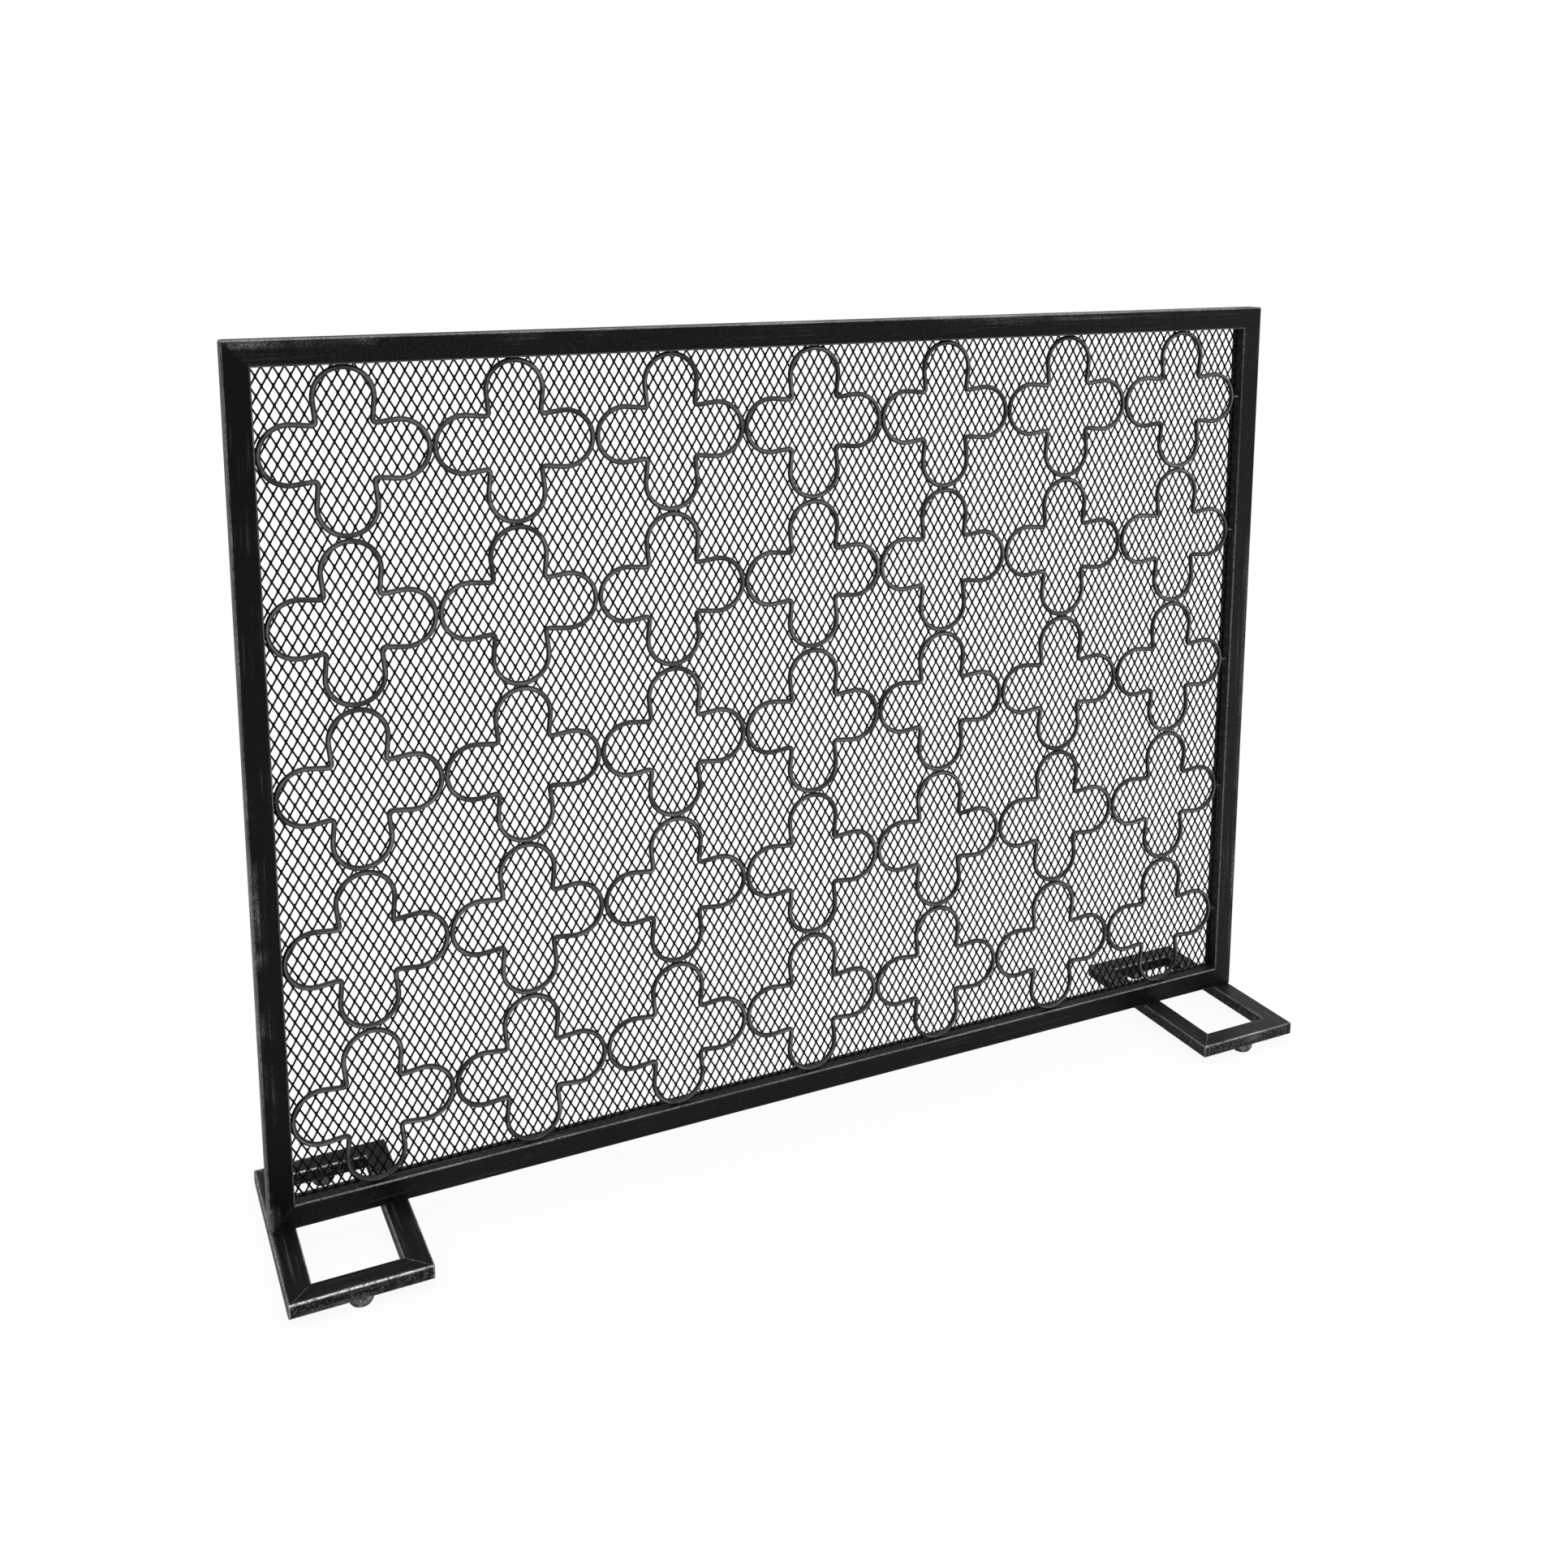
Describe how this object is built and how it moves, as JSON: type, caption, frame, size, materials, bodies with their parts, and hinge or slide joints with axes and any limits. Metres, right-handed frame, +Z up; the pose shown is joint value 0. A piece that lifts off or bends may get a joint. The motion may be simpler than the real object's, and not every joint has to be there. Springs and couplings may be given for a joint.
{
  "type": "fireplace screen",
  "caption": "Free-standing single-panel fireplace screen: welded steel tube frame, bent-wire clover grid over diamond spark mesh, on two flat ring feet.",
  "frame": {"origin": "on the floor, under the middle of the width and of the feet's depth", "axes": "+X across the screen, -Y faces the room, +Z up"},
  "size_m": [1.0414, 0.2032, 0.7811],
  "materials": {
    "frame_paint": "satin black paint with silver dry-brushed edges",
    "foot_paint": "satin black paint with silver dry-brushed edges",
    "wire_paint": "satin black paint with a grey sheen",
    "mesh_paint": "matt black paint",
    "glide_paint": "worn dark grey metal",
    "bolt_zinc": "zinc plated",
    "insert_zinc": "zinc plated"
  },
  "bodies": {
    "root": {"top_rail": "frame_paint", "bottom_rail": "frame_paint", "left_post": "frame_paint", "right_post": "frame_paint", "mesh_rising_strands": "mesh_paint", "mesh_falling_strands": "mesh_paint", "bridging_pins": "wire_paint", "clover_row1_col1": "wire_paint", "clover_row1_col2": "wire_paint", "clover_row1_col3": "wire_paint", "clover_row1_col4": "wire_paint", "clover_row1_col5": "wire_paint", "clover_row1_col6": "wire_paint", "clover_row1_col7": "wire_paint", "clover_row2_col1": "wire_paint", "clover_row2_col2": "wire_paint", "clover_row2_col3": "wire_paint", "clover_row2_col4": "wire_paint", "clover_row2_col5": "wire_paint", "clover_row2_col6": "wire_paint", "clover_row2_col7": "wire_paint", "clover_row3_col1": "wire_paint", "clover_row3_col2": "wire_paint", "clover_row3_col3": "wire_paint", "clover_row3_col4": "wire_paint", "clover_row3_col5": "wire_paint", "clover_row3_col6": "wire_paint", "clover_row3_col7": "wire_paint", "clover_row4_col1": "wire_paint", "clover_row4_col2": "wire_paint", "clover_row4_col3": "wire_paint", "clover_row4_col4": "wire_paint", "clover_row4_col5": "wire_paint", "clover_row4_col6": "wire_paint", "clover_row4_col7": "wire_paint", "clover_row5_col1": "wire_paint", "clover_row5_col2": "wire_paint", "clover_row5_col3": "wire_paint", "clover_row5_col4": "wire_paint", "clover_row5_col5": "wire_paint", "clover_row5_col6": "wire_paint", "clover_row5_col7": "wire_paint", "left_foot_front_rail": "foot_paint", "left_foot_rear_rail": "foot_paint", "left_foot_outer_rail": "foot_paint", "left_foot_inner_rail": "foot_paint", "right_foot_front_rail": "foot_paint", "right_foot_rear_rail": "foot_paint", "right_foot_outer_rail": "foot_paint", "right_foot_inner_rail": "foot_paint", "front_left_glide": "glide_paint", "front_right_glide": "glide_paint", "rear_left_glide": "glide_paint", "rear_right_glide": "glide_paint", "foot_bolts": "bolt_zinc", "threaded_inserts": "insert_zinc"}
  },
  "joints": []
}
